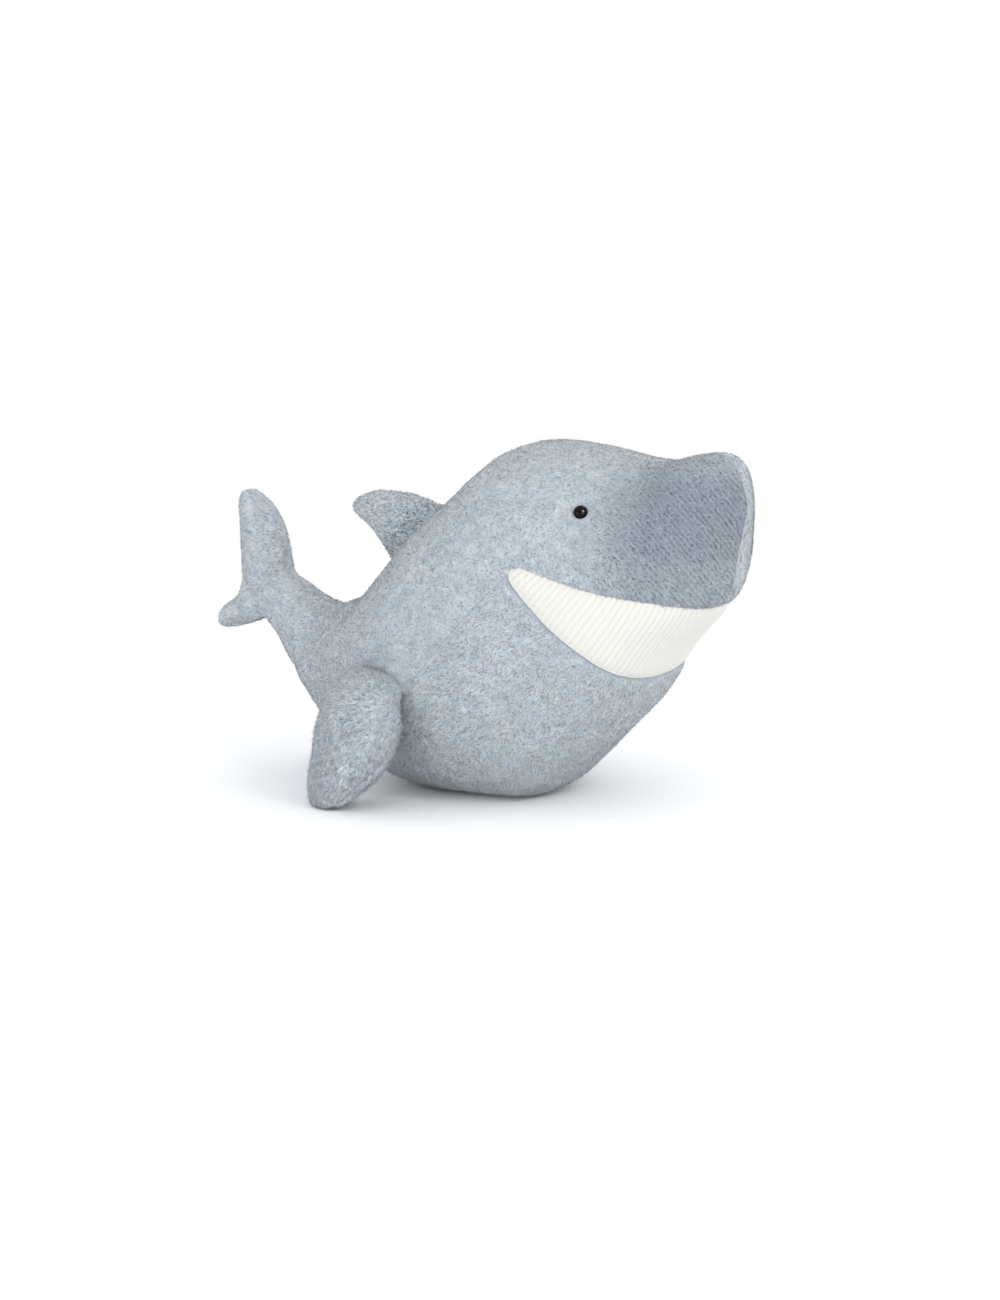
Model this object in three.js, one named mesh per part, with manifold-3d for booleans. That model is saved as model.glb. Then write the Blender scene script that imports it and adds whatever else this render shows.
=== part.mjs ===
// A plush shark about 34 cm long. Millimetres, nose +X, up +Z, the shark's left side +Y.
// It sits on the flat under its belly and on the tips of its two flippers, all at z = 0.
import * as THREE from 'three';
import { mergeVertices } from 'three/addons/utils/BufferGeometryUtils.js';
import Module from 'manifold-3d';

const wasm = await Module();
wasm.setup();
const { Manifold, CrossSection } = wasm;

// ---------------------------------------------------------------- driving dimensions
const SKIN = 2.8;        // pile fabric with its backing
const FIN_SKIN = 2.4;    // the same fabric on the fins
const GAP = 0.35;        // clearance between touching pieces
const [RINGS, SIDES] = [34, 24];               // facets along and round the torso
const [INNER_RINGS, INNER_SIDES] = [24, 18];   // and along and round its lining
const EYE = { x: 84, z: 167.5, radius: 3.8, dome: 3.2, shank: 1.5, length: 8.5 };
const WASHER = { radius: 6, thick: 1.2 };
const POUCH = { x: -4, rx: 40, ry: 38, height: 26, wall: 1.2 };

// The torso and tail stem, from the fluke to the snout. Each station has the point on the
// back, the point on the belly (x, z), the half width, and how square the section is.
const TORSO = [
  { back: [-146, 109], belly: [-153, 87], half: 11, square: 2.0 },
  { back: [-135.5, 108.5], belly: [-145, 80], half: 13.5, square: 2.0 },
  { back: [-122, 103], belly: [-137, 67], half: 18, square: 2.0 },
  { back: [-110, 97.5], belly: [-128, 53.5], half: 24, square: 2.0 },
  { back: [-97, 95.5], belly: [-113.5, 38], half: 32, square: 2.05 },
  { back: [-84, 100.5], belly: [-96.5, 23], half: 43, square: 2.1 },
  { back: [-72, 111], belly: [-76, 11.5], half: 54, square: 2.15 },
  { back: [-60.5, 123.5], belly: [-56, 3], half: 63, square: 2.2 },
  { back: [-48, 137.5], belly: [-34, -2.5], half: 70, square: 2.2 },
  { back: [-33, 154], belly: [-10, -4], half: 75, square: 2.2 },
  { back: [-15, 171], belly: [15, -4], half: 77, square: 2.2 },
  { back: [2, 186.5], belly: [38, -0.5], half: 77.5, square: 2.2 },
  { back: [20, 195.5], belly: [56.5, 14.5], half: 76.5, square: 2.2 },
  { back: [41, 198], belly: [75, 33.5], half: 74, square: 2.2 },
  { back: [62, 196.5], belly: [91.5, 50], half: 70, square: 2.2 },
  { back: [82, 194], belly: [103, 65.5], half: 65, square: 2.25 },
  { back: [98, 191.5], belly: [110, 78.5], half: 59.5, square: 2.3 },
  { back: [112, 192], belly: [118.5, 90], half: 54, square: 2.35 },
  { back: [124, 195], belly: [128, 99.5], half: 48, square: 2.35 },
  { back: [134, 198], belly: [135.5, 108.5], half: 41.5, square: 2.3 },
  { back: [142, 198.5], belly: [142.5, 116], half: 34, square: 2.25 },
  { back: [148, 196], belly: [148, 124.5], half: 25.5, square: 2.2 },
  { back: [152, 189], belly: [151.5, 138], half: 15.5, square: 2.1 },
];
// Seams in side view (x, z): where the back meets the belly, and the two lips.
const SIDE_SEAM = [[50, 137], [28, 114], [-4, 79], [-22, 58], [-48, 38], [-80, 25], [-110, 21]];
const UPPER_LIP = [[50, 137], [79, 132.5], [100, 128], [124, 122], [141, 115.5], [165, 107]];
const LOWER_LIP = [[50, 137], [57, 121.5], [70, 107], [87, 93], [102, 82.5], [111, 75.5], [130, 62]];

// The tail fluke, one crescent from the lower tip to the upper tip: front edge, rear edge,
// half thickness.
const FLUKE = [
  { back: [-178, 75], belly: [-181, 82], half: 5 },
  { back: [-171, 75.5], belly: [-177.5, 90], half: 8 },
  { back: [-160, 78.5], belly: [-170, 95.5], half: 10 },
  { back: [-149, 85], belly: [-167, 101.5], half: 11.5 },
  { back: [-139, 97], belly: [-166.5, 109], half: 12.5 },
  { back: [-135, 110], belly: [-167, 118], half: 13 },
  { back: [-136.5, 124], belly: [-167.5, 130], half: 12.5 },
  { back: [-141, 138], belly: [-168.5, 141], half: 11.5 },
  { back: [-149, 150.5], belly: [-169, 150], half: 9 },
  { back: [-158, 156], belly: [-166, 154.5], half: 5 },
];
// The dorsal fin from its root inside the back to its swept tip.
const DORSAL = [
  { back: [-13, 149], belly: [-55, 103], half: 11 },
  { back: [-27, 153.5], belly: [-62, 114], half: 11.5 },
  { back: [-40, 158], belly: [-68.5, 125], half: 11 },
  { back: [-54, 161.5], belly: [-75.5, 135], half: 10 },
  { back: [-68, 163], belly: [-82.5, 142.5], half: 8.5 },
  { back: [-82, 162], belly: [-89, 146.5], half: 6.5 },
  { back: [-89.5, 157.5], belly: [-92.5, 151], half: 3.5 },
];
// A flipper laid flat, root at the origin, tip along -v: leading edge, trailing edge (u, v),
// half thickness.
const FLIPPER = [
  { back: [10, 4], belly: [-8, 4], half: 8 },
  { back: [19.5, -2], belly: [-16.5, -2], half: 14 },
  { back: [26.5, -12], belly: [-23.5, -12], half: 19 },
  { back: [29.5, -25], belly: [-26, -26], half: 22 },
  { back: [29, -39], belly: [-26, -39], half: 21.5 },
  { back: [25.5, -53], belly: [-24, -53], half: 18.5 },
  { back: [19.5, -65], belly: [-20, -65], half: 14.5 },
  { back: [12.5, -74], belly: [-14.5, -74], half: 10.5 },
  { back: [6, -79.5], belly: [-9, -79.5], half: 6 },
];
// Where the right flipper is sewn on, how far it leans out, and how far its leading edge
// stands off the body.
const FLIPPER_ROOT = { x: -36.5, y: -76, z: 70.5, lean: 15, turn: 34, sweep: 12.5 };

// Hinges: a point (x, z), a direction, and the angles each way.
const TAIL_HINGE = { x: -112, z: 71.5, alongX: -0.79, alongZ: 0.61, reach: 24, core: 15 };
const FLUKE_HINGE = { x: -146.5, z: 97, alongX: -0.86, alongZ: 0.5, up: 21, down: 16, core: 9.5 };
const DORSAL_HINGE = { from: [-30, 157], to: [-63, 121], reach: 36 };
const FLIPPER_HINGE = { lift: 62, tuck: 1 };

// ---------------------------------------------------------------- geometry helpers
const RAD = Math.PI / 180;

function manifoldOf(geometry) {
  const bare = geometry.clone();
  bare.deleteAttribute('normal');
  bare.deleteAttribute('uv');
  const welded = mergeVertices(bare, 1e-4);
  return new Manifold(new wasm.Mesh({
    numProp: 3,
    vertProperties: new Float32Array(welded.attributes.position.array),
    triVerts: new Uint32Array(welded.index.array),
  }));
}

function geometryOf(solid) {
  const mesh = solid.getMesh();
  const geometry = new THREE.BufferGeometry();
  geometry.setAttribute('position', new THREE.BufferAttribute(mesh.vertProperties, 3));
  geometry.setIndex(new THREE.BufferAttribute(mesh.triVerts, 1));
  geometry.computeVertexNormals();
  return geometry;
}

// A closed loft through stations, resampled to `rings` sections of `sides` points, each
// point moved inward by `inset`. Every section lies in the plane of its two edge points
// and the Y direction.
function loft(stations, rings, sides, inset = 0) {
  const curve = (pick) => new THREE.CatmullRomCurve3(
    stations.map((s) => new THREE.Vector3(...pick(s))), false, 'centripetal');
  const back = curve((s) => [s.back[0], s.half, s.back[1]]);
  const belly = curve((s) => [s.belly[0], s.square ?? 2, s.belly[1]]);
  const positions = [];
  const index = [];
  for (let i = 0; i < rings; i += 1) {
    const t = i / (rings - 1);
    const a = back.getPoint(t);
    const b = belly.getPoint(t);
    const power = 2 / b.y;
    for (let j = 0; j < sides; j += 1) {
      const angle = ((j + 0.5) / sides) * Math.PI * 2;
      const c = Math.sign(Math.cos(angle)) * Math.abs(Math.cos(angle)) ** power;
      const s = Math.sign(Math.sin(angle)) * Math.abs(Math.sin(angle)) ** power;
      positions.push((a.x + b.x) / 2 + (c * (a.x - b.x)) / 2, s * a.y,
        (a.z + b.z) / 2 + (c * (a.z - b.z)) / 2);
    }
  }
  for (let i = 0; i < rings - 1; i += 1) {
    for (let j = 0; j < sides; j += 1) {
      const k = (j + 1) % sides;
      const [p, q, r, s] = [i * sides + j, i * sides + k, (i + 1) * sides + k, (i + 1) * sides + j];
      index.push(p, q, r, p, r, s);
    }
  }
  // rounded ends: one pole beyond each end ring
  for (const [ring, next, flip] of [[0, 1, false], [rings - 1, rings - 2, true]]) {
    const mean = (r) => {
      const m = new THREE.Vector3();
      for (let j = 0; j < sides; j += 1) m.add(new THREE.Vector3().fromArray(positions, (r * sides + j) * 3));
      return m.divideScalar(sides);
    };
    const centre = mean(ring);
    const out = centre.clone().sub(mean(next)).normalize();
    const size = new THREE.Vector3().fromArray(positions, ring * sides * 3).distanceTo(centre);
    const pole = centre.addScaledVector(out, size * 0.42);
    const n = positions.length / 3;
    positions.push(pole.x, pole.y, pole.z);
    for (let j = 0; j < sides; j += 1) {
      const [p, q] = [ring * sides + j, ring * sides + ((j + 1) % sides)];
      index.push(...(flip ? [n, p, q] : [n, q, p]));
    }
  }
  let geometry = new THREE.BufferGeometry();
  geometry.setAttribute('position', new THREE.Float32BufferAttribute(positions, 3));
  geometry.setIndex(index);
  if (manifoldOf(geometry).volume() < 0) geometry = reversed(geometry);
  if (inset) {
    geometry.computeVertexNormals();
    const p = geometry.attributes.position;
    const n = geometry.attributes.normal;
    for (let i = 0; i < p.count; i += 1) {
      p.setXYZ(i, p.getX(i) - inset * n.getX(i), p.getY(i) - inset * n.getY(i), p.getZ(i) - inset * n.getZ(i));
    }
  }
  return manifoldOf(geometry);
}

function reversed(geometry) {
  const turned = geometry.clone();
  const old = [...geometry.index.array];
  for (let i = 0; i < old.length; i += 3) [old[i + 1], old[i + 2]] = [old[i + 2], old[i + 1]];
  turned.setIndex(old);
  return turned;
}

const box = (x0, x1, y0, y1, z0, z1) =>
  Manifold.cube([x1 - x0, y1 - y0, z1 - z0]).translate([x0, y0, z0]);
const floorCut = (solid, height = 0) => solid.subtract(box(-400, 400, -400, 400, -400, height));

// The region of the side view inside a polygon (x, z), as a solid through y.
function through(points, half = 200) {
  const area = new CrossSection([points]);
  const fixed = area.area() < 0 ? new CrossSection([[...points].reverse()]) : area;
  return fixed.extrude(2 * half).rotate([90, 0, 0]).translate([0, half, 0]);
}

// A thin wall along a seam line (x, z), as a solid through y.
function seamWall(line, width = GAP) {
  const walls = [];
  for (let i = 0; i + 1 < line.length; i += 1) {
    const [ax, az] = line[i];
    const [bx, bz] = line[i + 1];
    const l = Math.hypot(bx - ax, bz - az);
    const [ux, uz] = [((bx - ax) / l), ((bz - az) / l)];
    const [nx, nz] = [(-uz * width) / 2, (ux * width) / 2];
    const e = width / 2;
    walls.push(through([
      [ax - ux * e + nx, az - uz * e + nz], [ax - ux * e - nx, az - uz * e - nz],
      [bx + ux * e - nx, bz + uz * e - nz], [bx + ux * e + nx, bz + uz * e + nz],
    ]));
  }
  return Manifold.union(walls);
}

// Everything on one side of a plane through (x, z) whose side-view normal is (nx, nz).
function halfSpace(x, z, nx, nz, offset = 0) {
  const angle = Math.atan2(nz, nx) / RAD;
  return box(offset, 600, -300, 300, -300, 300).rotate([0, -angle, 0]).translate([x, 0, z]);
}

function midWall() {
  return box(-400, 400, -GAP / 2, GAP / 2, -400, 400);
}

const biggest = (solid) => solid.decompose().sort((a, b) => b.volume() - a.volume())[0];
const mirrored = (solid) => solid.mirror([0, 1, 0]);

// Turns a solid about an axis through a point.
function turned(solid, point, axis, degrees) {
  const m = new THREE.Matrix4().makeTranslation(...point)
    .multiply(new THREE.Matrix4().makeRotationAxis(new THREE.Vector3(...axis).normalize(), degrees * RAD))
    .multiply(new THREE.Matrix4().makeTranslation(...point.map((v) => -v)));
  return solid.transform(m.elements);
}

// ---------------------------------------------------------------- torso, tail stem and mouth
const torsoOuter = floorCut(loft(TORSO, RINGS, SIDES));
const torsoInner = floorCut(loft(TORSO, INNER_RINGS, INNER_SIDES, SKIN), SKIN);
const torsoFill = floorCut(loft(TORSO, INNER_RINGS, INNER_SIDES, SKIN + GAP + 0.15), SKIN + GAP);
const torsoSwept = loft(TORSO, RINGS, SIDES, -0.6);   // clears the fins as they turn

const th = TAIL_HINGE;
const tailSide = halfSpace(th.x, th.z, th.alongX, th.alongZ, GAP / 2);
const bodySide = halfSpace(th.x, th.z, -th.alongX, -th.alongZ, GAP / 2);
const tailAxis = [-th.alongZ, 0, th.alongX].map((v) => -v);   // in the mid-plane, across the stem
const tailWedge = [-th.reach, th.reach]
  .map((a) => turned(tailSide, [th.x, 0, th.z], tailAxis, a))
  .reduce((a, b) => a.intersect(b));
const tailBall = (r) => Manifold.sphere(r, 24).translate([th.x, 0, th.z]);

const fh = FLUKE_HINGE;
const flukeCore = (r) => Manifold.cylinder(60, r, r, 20, true).rotate([90, 0, 0]).translate([fh.x, 0, fh.z]);
const beforeFluke = halfSpace(fh.x, fh.z, -fh.alongX, -fh.alongZ);
const flukeSolid = loft(FLUKE, 16, 14);
const stemZone = tailSide.intersect(beforeFluke.add(flukeCore(fh.core)));
// what the stem sweeps out of the fluke as the fluke turns about Y
const stemSweep = [-fh.up, -fh.up / 2, 0, fh.down / 2, fh.down]
  .map((a) => turned(beforeFluke.intersect(loft(TORSO, RINGS, SIDES, -0.5))
    .intersect(box(-200, -120, -40, 40, 40, 140)), [fh.x, 0, fh.z], [0, 1, 0], a))
  .reduce((a, b) => a.add(b));
const flukeKeep = (solid) => biggest(solid.subtract(stemSweep).subtract(flukeCore(fh.core + GAP)));

const aboveSeam = through([...SIDE_SEAM].reverse().concat(UPPER_LIP.slice(1), [[400, 110], [400, 400], [-400, 400], [-400, 22]]));
const lipWalls = seamWall(UPPER_LIP).add(seamWall(LOWER_LIP)).add(seamWall(SIDE_SEAM))
  .add(seamWall([[-110, 22], [-400, 22]]));

// the right side's y at (x, z), found by cutting a narrow post out of the torso
const sideY = (x, z) => torsoOuter
  .intersect(box(x - 0.4, x + 0.4, -200, 0, z - 0.4, z + 0.4)).boundingBox().min[1];
const eyeSpot = { x: EYE.x, y: sideY(EYE.x, EYE.z), z: EYE.z };
const EYE_DIRECTION = new THREE.Vector3(
  (sideY(EYE.x + 6, EYE.z) - sideY(EYE.x - 6, EYE.z)) / 12, -1,
  (sideY(EYE.x, EYE.z + 6) - sideY(EYE.x, EYE.z - 6)) / 12).normalize();
// Stands a solid of revolution (axis +Z, origin on the skin) on the right eye's place.
function atEye(solid) {
  const q = new THREE.Quaternion().setFromUnitVectors(new THREE.Vector3(0, 0, 1), EYE_DIRECTION);
  const m = new THREE.Matrix4().compose(new THREE.Vector3(eyeSpot.x, eyeSpot.y, eyeSpot.z), q,
    new THREE.Vector3(1, 1, 1));
  return solid.transform(m.elements);
}
const bothEyes = (solid) => atEye(solid).add(mirrored(atEye(solid)));

const skin = torsoOuter.subtract(torsoInner).intersect(bodySide)
  .subtract(bothEyes(Manifold.cylinder(12, EYE.shank + GAP, EYE.shank + GAP, 14, true)));
const panels = skin.subtract(lipWalls).subtract(midWall().intersect(aboveSeam)).decompose()
  .filter((p) => p.volume() > 800);
const panelAt = (x, y, z) => panels.reduce((best, p) => {
  const near = (s) => {
    const probe = s.intersect(Manifold.sphere(14, 12).translate([x, y, z]));
    return probe.isEmpty() ? 0 : probe.volume();
  };
  return near(p) > near(best) ? p : best;
});

const shell = (outer, inner) => outer.subtract(inner);
const halves = (solid) => {
  const parts = solid.subtract(midWall()).decompose().filter((p) => p.volume() > 60);
  const side = (sign) => parts.filter((p) => sign * (p.boundingBox().min[1] + p.boundingBox().max[1]) > 0)
    .sort((a, b) => b.volume() - a.volume())[0];
  return { left: side(1), right: side(-1) };
};

const tailZone = tailWedge.intersect(stemZone);
const tailSkin = halves(torsoOuter.subtract(torsoInner).intersect(tailZone).subtract(tailBall(th.core + GAP)));
const tailFill = biggest(torsoFill.intersect(tailZone).subtract(tailBall(th.core + GAP)));
const flukeSkin = halves(flukeKeep(shell(flukeSolid, loft(FLUKE, 12, 10, FIN_SKIN))));
const flukeFill = flukeKeep(loft(FLUKE, 12, 10, FIN_SKIN + GAP + 0.2));

// ---------------------------------------------------------------- dorsal fin
const dh = DORSAL_HINGE;
const dorsalPivot = [(dh.from[0] + dh.to[0]) / 2, 0, (dh.from[1] + dh.to[1]) / 2];
const dorsalAxis = [dh.from[0] - dh.to[0], 0, dh.from[1] - dh.to[1]];   // along the fin's seam
const backSwept = [-dh.reach, -dh.reach / 2, 0, dh.reach / 2, dh.reach]
  .map((a) => turned(torsoSwept, dorsalPivot, dorsalAxis, a))
  .reduce((a, b) => a.add(b));
const dorsalSolid = loft(DORSAL, 11, 14);
const dorsalSkin = halves(shell(dorsalSolid, loft(DORSAL, 9, 10, FIN_SKIN)).subtract(backSwept));
const dorsalFill = biggest(loft(DORSAL, 9, 10, FIN_SKIN + GAP + 0.2).subtract(backSwept));

// ---------------------------------------------------------------- flippers
const fr = FLIPPER_ROOT;
const flip = FLIPPER_HINGE;
// Flat frame (u leading, y outward face, v up) stood at the right shoulder.
const flipperPlace = new THREE.Matrix4().makeTranslation(fr.x, fr.y, fr.z)
  .multiply(new THREE.Matrix4().makeRotationX(-fr.lean * RAD))
  .multiply(new THREE.Matrix4().makeRotationY(fr.sweep * RAD))
  .multiply(new THREE.Matrix4().makeRotationZ(-fr.turn * RAD));
const placed = (solid) => solid.transform(flipperPlace.elements);
const flipperPivot = [fr.x, fr.y + 1, fr.z];
const shoulderSwept = [-flip.tuck - 2, 8, 22, 36, 50, flip.lift + 3]
  .map((a) => turned(torsoSwept, flipperPivot, [1, 0, 0], a))
  .reduce((a, b) => a.add(b));
const flipperCut = (solid) => floorCut(placed(solid).subtract(shoulderSwept));
const flipperSplit = placed(midWall());
const flipperShell = flipperCut(shell(loft(FLIPPER, 14, 16), loft(FLIPPER, 10, 12, FIN_SKIN)))
  .subtract(flipperSplit).decompose().sort((a, b) => b.volume() - a.volume()).slice(0, 2);
const flipperFill = biggest(floorCut(placed(loft(FLIPPER, 10, 12, FIN_SKIN + GAP + 0.2))
  .subtract(shoulderSwept), FIN_SKIN + GAP));
const meanY = (s) => (s.boundingBox().min[1] + s.boundingBox().max[1]) / 2;
const [flipperOuter, flipperInner] = flipperShell.sort((a, b) => meanY(a) - meanY(b));

// ---------------------------------------------------------------- inside the torso
const dome = (rx, ry, h) => Manifold.sphere(1, 28).scale([rx, ry, h])
  .intersect(box(-200, 200, -200, 200, 0, 200)).translate([POUCH.x, 0, SKIN + GAP]);
const pouchOuter = dome(POUCH.rx, POUCH.ry, POUCH.height);
const pouchInner = dome(POUCH.rx - POUCH.wall, POUCH.ry - POUCH.wall, POUCH.height - POUCH.wall);
const pellets = dome(POUCH.rx - POUCH.wall - GAP - 0.25, POUCH.ry - POUCH.wall - GAP - 0.25,
  POUCH.height - POUCH.wall - GAP - 0.25);
const pouchRoom = dome(POUCH.rx + GAP + 0.3, POUCH.ry + GAP + 0.3, POUCH.height + GAP + 0.3);

const eyeProfile = [[0, -EYE.length], [EYE.shank, -EYE.length], [EYE.shank, 0.2], [EYE.radius * 0.8, 0.2],
  [EYE.radius, 0.7], [EYE.radius * 0.93, EYE.dome * 0.55], [EYE.radius * 0.66, EYE.dome * 0.86],
  [EYE.radius * 0.3, EYE.dome * 0.98], [0, EYE.dome]];
const eyeSolid = manifoldOf(new THREE.LatheGeometry(eyeProfile.map(([r, z]) => new THREE.Vector2(r, z)), 24)
  .rotateX(Math.PI / 2));
const eye = (eyeSolid.volume() < 0 ? manifoldOf(reversed(new THREE.LatheGeometry(
  eyeProfile.map(([r, z]) => new THREE.Vector2(r, z)), 24).rotateX(Math.PI / 2))) : eyeSolid).translate([0, 0, 0.45]);
const washerAt = -SKIN - 3;
const washer = Manifold.cylinder(WASHER.thick, WASHER.radius, WASHER.radius, 22)
  .subtract(Manifold.cylinder(20, EYE.shank + GAP, EYE.shank + GAP, 14, true))
  .translate([0, 0, washerAt]);
const eyeRoom = Manifold.cylinder(10, WASHER.radius + GAP, WASHER.radius + GAP, 20)
  .translate([0, 0, washerAt - GAP])
  .add(Manifold.cylinder(14, EYE.shank + GAP, EYE.shank + GAP, 14).translate([0, 0, -EYE.length - 2]));

const fillZone = bodySide.add(tailBall(th.core));
const bodyFill = biggest(torsoFill.intersect(fillZone).subtract(pouchRoom).subtract(bothEyes(eyeRoom)));

// ---------------------------------------------------------------- the assembly
const group = new THREE.Group();
group.name = 'plush_shark';
function add(name, solid, color, roughness) {
  const mesh = new THREE.Mesh(geometryOf(solid), new THREE.MeshStandardMaterial({ color, roughness, metalness: 0 }));
  mesh.name = name;
  group.add(mesh);
}
const GREY = '#b4bcc2';
const FIN_GREY = '#adb5bd';
const BELLY_GREY = '#aeb6be';
const WHITE = '#f1f0ec';
const FILL = '#f2f1ec';

add('side_panel_left', panelAt(30, 72, 140), GREY, 0.95);
add('side_panel_right', panelAt(30, -72, 140), GREY, 0.95);
add('mouth_panel', panelAt(130, 0, 96), WHITE, 0.9);
add('belly_panel', panelAt(60, 0, 14), BELLY_GREY, 0.95);
add('body_stuffing', bodyFill, FILL, 1);
add('bean_pouch', biggest(pouchOuter.subtract(pouchInner).intersect(torsoFill)), '#e4e2da', 0.9);
add('bean_pellets', biggest(pellets.intersect(torsoFill)), '#dcdcd6', 0.5);
add('eye_right', atEye(eye), '#0a0a0c', 0.08);
add('eye_left', mirrored(atEye(eye)), '#0a0a0c', 0.08);
add('eye_washer_right', atEye(washer), '#e8e8e6', 0.5);
add('eye_washer_left', mirrored(atEye(washer)), '#e8e8e6', 0.5);
add('tail_panel_left', tailSkin.left, GREY, 0.95);
add('tail_panel_right', tailSkin.right, GREY, 0.95);
add('tail_stuffing', tailFill, FILL, 1);
add('fluke_panel_left', flukeSkin.left, FIN_GREY, 0.95);
add('fluke_panel_right', flukeSkin.right, FIN_GREY, 0.95);
add('fluke_stuffing', flukeFill, FILL, 1);
add('dorsal_fin_panel_left', dorsalSkin.left, FIN_GREY, 0.95);
add('dorsal_fin_panel_right', dorsalSkin.right, FIN_GREY, 0.95);
add('dorsal_fin_stuffing', dorsalFill, FILL, 1);
add('right_flipper_outer_panel', flipperOuter, FIN_GREY, 0.95);
add('right_flipper_inner_panel', flipperInner, FIN_GREY, 0.95);
add('right_flipper_stuffing', flipperFill, FILL, 1);
add('left_flipper_outer_panel', mirrored(flipperOuter), FIN_GREY, 0.95);
add('left_flipper_inner_panel', mirrored(flipperInner), FIN_GREY, 0.95);
add('left_flipper_stuffing', mirrored(flipperFill), FILL, 1);

export default group;
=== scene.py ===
import math

import bmesh
import bpy
import numpy as np
from mathutils import Matrix, Vector, kdtree, noise
from mathutils.bvhtree import BVHTree


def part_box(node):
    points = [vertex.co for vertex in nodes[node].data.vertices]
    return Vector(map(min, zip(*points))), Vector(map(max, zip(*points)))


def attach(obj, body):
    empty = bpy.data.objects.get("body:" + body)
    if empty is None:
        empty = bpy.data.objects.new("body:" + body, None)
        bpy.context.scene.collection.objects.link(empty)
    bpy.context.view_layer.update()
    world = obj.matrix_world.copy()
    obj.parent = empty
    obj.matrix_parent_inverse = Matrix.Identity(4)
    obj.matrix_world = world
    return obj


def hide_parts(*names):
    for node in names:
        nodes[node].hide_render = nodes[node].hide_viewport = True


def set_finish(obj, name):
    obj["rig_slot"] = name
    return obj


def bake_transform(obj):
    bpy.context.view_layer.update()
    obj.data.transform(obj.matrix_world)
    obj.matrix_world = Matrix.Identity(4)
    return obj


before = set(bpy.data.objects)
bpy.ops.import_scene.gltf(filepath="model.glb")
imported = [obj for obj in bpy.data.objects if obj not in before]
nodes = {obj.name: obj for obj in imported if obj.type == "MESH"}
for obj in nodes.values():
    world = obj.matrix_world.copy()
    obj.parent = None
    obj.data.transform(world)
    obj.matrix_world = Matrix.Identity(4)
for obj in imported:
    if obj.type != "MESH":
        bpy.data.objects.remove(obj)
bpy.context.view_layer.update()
scene = bpy.context.scene
MM = 0.001

# ------------------------------------------------------------------ the pattern, in mm
SIDE_SEAM = [(50, 137), (28, 114), (-4, 79), (-22, 58), (-48, 38), (-80, 25), (-112, 21)]
UPPER_LIP = [(47.3, 134), (49.3, 137), (55, 137.4), (79, 130), (100, 124.4), (124, 118.6), (141, 112.5), (168, 103.5)]
LOWER_LIP = [
    (47.3, 134), (48.2, 130.5), (57, 120.4), (70.5, 106.4), (86.5, 91.4), (99, 78.8), (107.3, 71), (127.5, 55.5)
]
MOUTH_CORNER = 47.5 * MM
BELLY_ENDS = -112 * MM
TAIL_SIDE = -90 * MM  # nothing forward of this belongs to the tail's end
TAIL_HINGE = Vector((-112, 0, 71.5)) * MM
FLUKE_HINGE = Vector((-146.5, 0, 97)) * MM
STEM = Vector((-0.79, 0, 0.61)).normalized()
STEM_SPLIT = TAIL_HINGE + STEM * 24 * MM
FLIPPER_ROOT = Vector((-36.5, -76, 70.5)) * MM
FLIPPER_TURN = (
    Matrix.Rotation(math.radians(-15), 3, "X")
    @ Matrix.Rotation(math.radians(12.5), 3, "Y")
    @ Matrix.Rotation(math.radians(-34), 3, "Z")
)
FLIPPER_DOWN = FLIPPER_TURN @ Vector((0, 0, -1))
FLIPPER_FACE = FLIPPER_TURN @ Vector((0, 1, 0))
DORSAL_ROOT = Vector((-46.5, 0, 139)) * MM
DORSAL_UP = Vector((-0.737, 0, 0.676)).normalized()
RIB_ACROSS = Vector((0.77, 0, -0.64))  # square to the way the mouth's ribs run
RIB_PITCH = 3.5 * MM
ROW_PITCH = 2.5 * MM  # of the rows of painted shade round the snout, along the knitted rows where the pile is bent open
EYE_RADIUS = 3.95 * MM
BACK_SEAM_ABOVE = 120 * MM


# ------------------------------------------------------------------ working by hand
def deselect():
    if bpy.context.object and bpy.context.object.mode != "OBJECT":
        bpy.ops.object.mode_set(mode="OBJECT")
    bpy.ops.object.select_all(action="DESELECT")


def take(obj):
    deselect()
    obj.select_set(True)
    bpy.context.view_layer.objects.active = obj
    return obj


def settle(obj):
    """The object at the origin, unturned and unscaled, with its place in its mesh."""
    take(obj)
    bpy.ops.object.transform_apply(location=True, rotation=True, scale=True)
    return obj


def finish_with(obj, kind, **settings):
    take(obj)
    modifier = obj.modifiers.new(kind.lower(), kind)
    for key, value in settings.items():
        setattr(modifier, key, value)
    bpy.ops.object.modifier_apply(modifier=modifier.name)
    return obj


def copies_of(names, plugs=(), name="form"):
    """One mesh of copies of CAD nodes, with rounded plugs that fill the room left for bending."""
    made = []
    for n in names:
        o = bpy.data.objects.new("copy", nodes[n].data.copy())
        scene.collection.objects.link(o)
        o.data.materials.clear()
        made.append(o)
    for centre, radii, turn in plugs:
        deselect()
        bpy.ops.mesh.primitive_uv_sphere_add(segments=32, ring_count=20, radius=1, location=centre)
        o = bpy.context.object
        o.scale = radii
        o.rotation_euler = turn
        made.append(settle(o))
    deselect()
    for o in made:
        o.select_set(True)
    bpy.context.view_layer.objects.active = made[0]
    bpy.ops.object.join()
    form = bpy.context.object
    form.name = name
    return form


def coords(obj):
    co = np.empty(len(obj.data.vertices) * 3, np.float32)
    obj.data.vertices.foreach_get("co", co)
    return co.reshape(-1, 3).astype(float)


def normals(obj):
    no = np.empty(len(obj.data.vertices) * 3, np.float32)
    obj.data.vertices.foreach_get("normal", no)
    return no.reshape(-1, 3).astype(float)


def place(obj, co):
    obj.data.vertices.foreach_set("co", np.asarray(co, np.float32).ravel())
    obj.data.update()


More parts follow.
